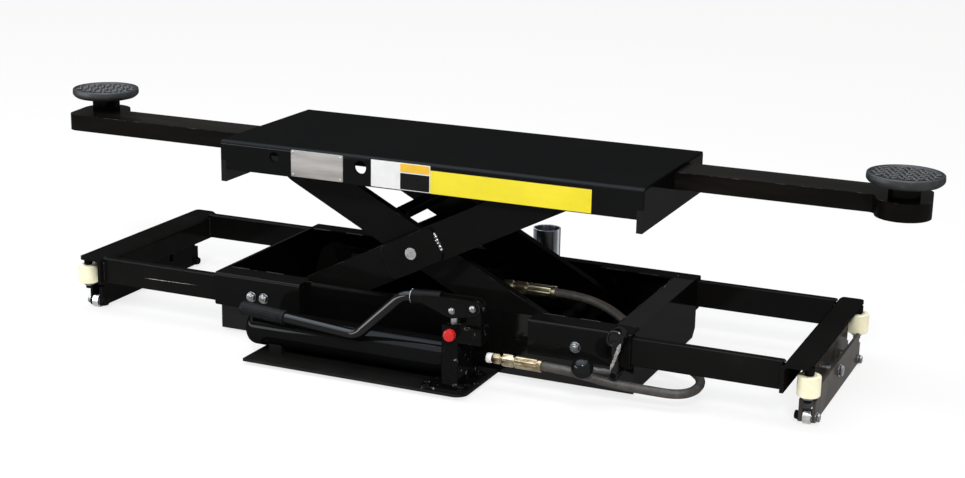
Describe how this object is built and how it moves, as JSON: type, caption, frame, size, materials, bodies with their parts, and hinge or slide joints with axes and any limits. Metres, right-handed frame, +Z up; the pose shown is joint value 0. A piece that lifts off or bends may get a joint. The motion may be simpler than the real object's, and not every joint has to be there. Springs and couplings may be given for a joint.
{
  "type": "rolling bridge jack",
  "caption": "Rolling bridge jack: a hand-pumped hydraulic scissor lift between telescoping roller frames, with sliding arms that end in swivelling rubber pads.",
  "frame": {"origin": "middle of the base, at the height where the steel rollers stand on their runways", "axes": "+X along the jack towards the latch end, +Y to the back, away from the hand pump, +Z up"},
  "size_m": [1.5857, 0.5417, 0.3709],
  "materials": {
    "black_paint": "gloss",
    "zinc_steel": "zinc plated",
    "yellow_zinc": "yellow passivated zinc",
    "rubber": "matte",
    "nylon": "matte",
    "hose": "matte",
    "red_plastic": "gloss",
    "black_plastic": "gloss",
    "seal_tape": "matte"
  },
  "bodies": {
    "base": {"base_tray": "black_paint", "rail_sleeves": "black_paint", "lock_bolts": "zinc_steel", "roller_tracks": "black_paint", "lower_pivot_shaft": "black_paint", "pump_plate": "black_paint", "storage_tube": "zinc_steel", "cylinder_bracket": "black_paint", "cylinder_barrel": "black_paint", "cylinder_gland": "zinc_steel", "cylinder_hose_end": "yellow_zinc", "hose": "hose", "pump_hose_end": "yellow_zinc", "thread_seal": "seal_tape", "outlet_fitting": "yellow_zinc", "reservoir": "black_paint", "pump_head": "black_paint", "pump_bolts": "zinc_steel"},
    "outer_legs": {"outer_legs": "black_paint", "torque_tube": "black_paint", "leg_pins": "zinc_steel"},
    "inner_legs": {"inner_legs": "black_paint", "inner_cross_tube": "black_paint", "lower_roller_axle": "zinc_steel"},
    "lower_rollers": {"lower_rollers": "zinc_steel"},
    "upper_rollers": {"upper_rollers": "zinc_steel"},
    "platform": {"platform_deck": "black_paint", "end_bars": "black_paint", "deck_bars": "black_paint", "upper_pivot_pins": "zinc_steel"},
    "cylinder_rod": {"cylinder_rod": "zinc_steel"},
    "pump_lever": {"lever_socket": "black_paint", "lever_pins": "zinc_steel", "handle_tube": "black_paint", "handle_grip": "rubber"},
    "pump_piston": {"pump_piston": "zinc_steel"},
    "release_knob": {"release_knob": "red_plastic"},
    "latch": {"latch_lever": "black_paint", "latch_ball": "black_plastic", "latch_bar": "black_paint"},
    "left_arm": {"left_arm": "black_paint"},
    "left_pad": {"left_pad": "rubber", "left_pad_stem": "black_paint"},
    "left_frame": {"left_frame": "black_paint", "left_roller_plates": "black_paint", "left_end_bolts": "zinc_steel"},
    "left_front_roller": {"left_front_roller": "zinc_steel"},
    "left_front_guide": {"left_front_guide": "nylon"},
    "left_back_roller": {"left_back_roller": "zinc_steel"},
    "left_back_guide": {"left_back_guide": "nylon"},
    "right_arm": {"right_arm": "black_paint"},
    "right_pad": {"right_pad": "rubber", "right_pad_stem": "black_paint"},
    "right_frame": {"right_frame": "black_paint", "right_roller_plates": "black_paint", "right_end_bolts": "zinc_steel"},
    "right_front_roller": {"right_front_roller": "zinc_steel"},
    "right_front_guide": {"right_front_guide": "nylon"},
    "right_back_roller": {"right_back_roller": "zinc_steel"},
    "right_back_guide": {"right_back_guide": "nylon"}
  },
  "joints": [
    {"name": "lift", "type": "hinge", "parent": "base", "child": "outer_legs", "pos_m": [-0.2472, 0, 0.064], "axis": [0, -1, 0], "range_deg": [-16.19, 17.81]},
    {"name": "scissor_cross", "type": "hinge", "parent": "outer_legs", "child": "inner_legs", "pos_m": [-0.02135, 0, 0.18002], "axis": [0, -1, 0], "range_deg": [-35.82, 32.58]},
    {"name": "platform_pivot", "type": "hinge", "parent": "inner_legs", "child": "platform", "pos_m": [-0.2472, 0, 0.29604], "axis": [0, -1, 0], "range_deg": [-16.29, 17.91]},
    {"name": "lower_rollers_spin", "type": "hinge", "parent": "inner_legs", "child": "lower_rollers", "pos_m": [0.20449, 0, 0.064], "axis": [0, 1, 0], "continuous": true},
    {"name": "upper_rollers_spin", "type": "hinge", "parent": "outer_legs", "child": "upper_rollers", "pos_m": [0.20449, 0, 0.29604], "axis": [0, 1, 0], "continuous": true},
    {"name": "cylinder_stroke", "type": "slide", "parent": "base", "child": "cylinder_rod", "axis": [-1, 0, 0], "range_m": [-0.01461, 0.01605]},
    {"name": "pump_handle", "type": "hinge", "parent": "base", "child": "pump_lever", "pos_m": [0.154, -0.276, 0.1495], "axis": [0, 1, 0], "range_deg": [0, 32]},
    {"name": "piston_stroke", "type": "slide", "parent": "base", "child": "pump_piston", "axis": [0, 0, 1], "range_m": [-0.0002, 0.02]},
    {"name": "release_valve", "type": "hinge", "parent": "base", "child": "release_knob", "pos_m": [0.121, -0.3, 0.106], "axis": [0, 1, 0], "range_deg": [0, 180]},
    {"name": "latch_turn", "type": "hinge", "parent": "base", "child": "latch", "pos_m": [0.36, 0, 0.05], "axis": [0, 1, 0], "range_deg": [0, 5.5]},
    {"name": "left_frame_slide", "type": "slide", "parent": "base", "child": "left_frame", "axis": [-1, 0, 0], "range_m": [-0.145, 0.06]},
    {"name": "left_arm_slide", "type": "slide", "parent": "platform", "child": "left_arm", "axis": [-1, 0, 0], "range_m": [-0.29, 0.25]},
    {"name": "left_pad_swivel", "type": "hinge", "parent": "left_arm", "child": "left_pad", "pos_m": [-0.7219, 0, 0.3624], "axis": [0, 0, 1], "continuous": true},
    {"name": "left_front_roller_spin", "type": "hinge", "parent": "left_frame", "child": "left_front_roller", "pos_m": [-0.6468, -0.15, 0.012], "axis": [1, 0, 0], "continuous": true},
    {"name": "left_front_guide_spin", "type": "hinge", "parent": "left_frame", "child": "left_front_guide", "pos_m": [-0.6499, -0.171, 0.06925], "axis": [0, 0, 1], "continuous": true},
    {"name": "left_back_roller_spin", "type": "hinge", "parent": "left_frame", "child": "left_back_roller", "pos_m": [-0.6468, 0.15, 0.012], "axis": [1, 0, 0], "continuous": true},
    {"name": "left_back_guide_spin", "type": "hinge", "parent": "left_frame", "child": "left_back_guide", "pos_m": [-0.6499, 0.171, 0.06925], "axis": [0, 0, 1], "continuous": true},
    {"name": "right_frame_slide", "type": "slide", "parent": "base", "child": "right_frame", "axis": [1, 0, 0], "range_m": [-0.145, 0.06]},
    {"name": "right_arm_slide", "type": "slide", "parent": "platform", "child": "right_arm", "axis": [1, 0, 0], "range_m": [-0.29, 0.25]},
    {"name": "right_pad_swivel", "type": "hinge", "parent": "right_arm", "child": "right_pad", "pos_m": [0.7438, 0, 0.3624], "axis": [0, 0, 1], "continuous": true},
    {"name": "right_front_roller_spin", "type": "hinge", "parent": "right_frame", "child": "right_front_roller", "pos_m": [0.6525, -0.15, 0.012], "axis": [1, 0, 0], "continuous": true},
    {"name": "right_front_guide_spin", "type": "hinge", "parent": "right_frame", "child": "right_front_guide", "pos_m": [0.6556, -0.171, 0.06925], "axis": [0, 0, 1], "continuous": true},
    {"name": "right_back_roller_spin", "type": "hinge", "parent": "right_frame", "child": "right_back_roller", "pos_m": [0.6525, 0.15, 0.012], "axis": [1, 0, 0], "continuous": true},
    {"name": "right_back_guide_spin", "type": "hinge", "parent": "right_frame", "child": "right_back_guide", "pos_m": [0.6556, 0.171, 0.06925], "axis": [0, 0, 1], "continuous": true}
  ],
  "couplings": [
    {"joint": "scissor_cross", "follows": "lift", "ratio": -2},
    {"joint": "platform_pivot", "follows": "lift", "ratio": 1},
    {"joint": "cylinder_stroke", "follows": "lift", "m_per_rad": 0.051},
    {"joint": "piston_stroke", "follows": "pump_handle", "m_per_rad": 0.03545}
  ]
}
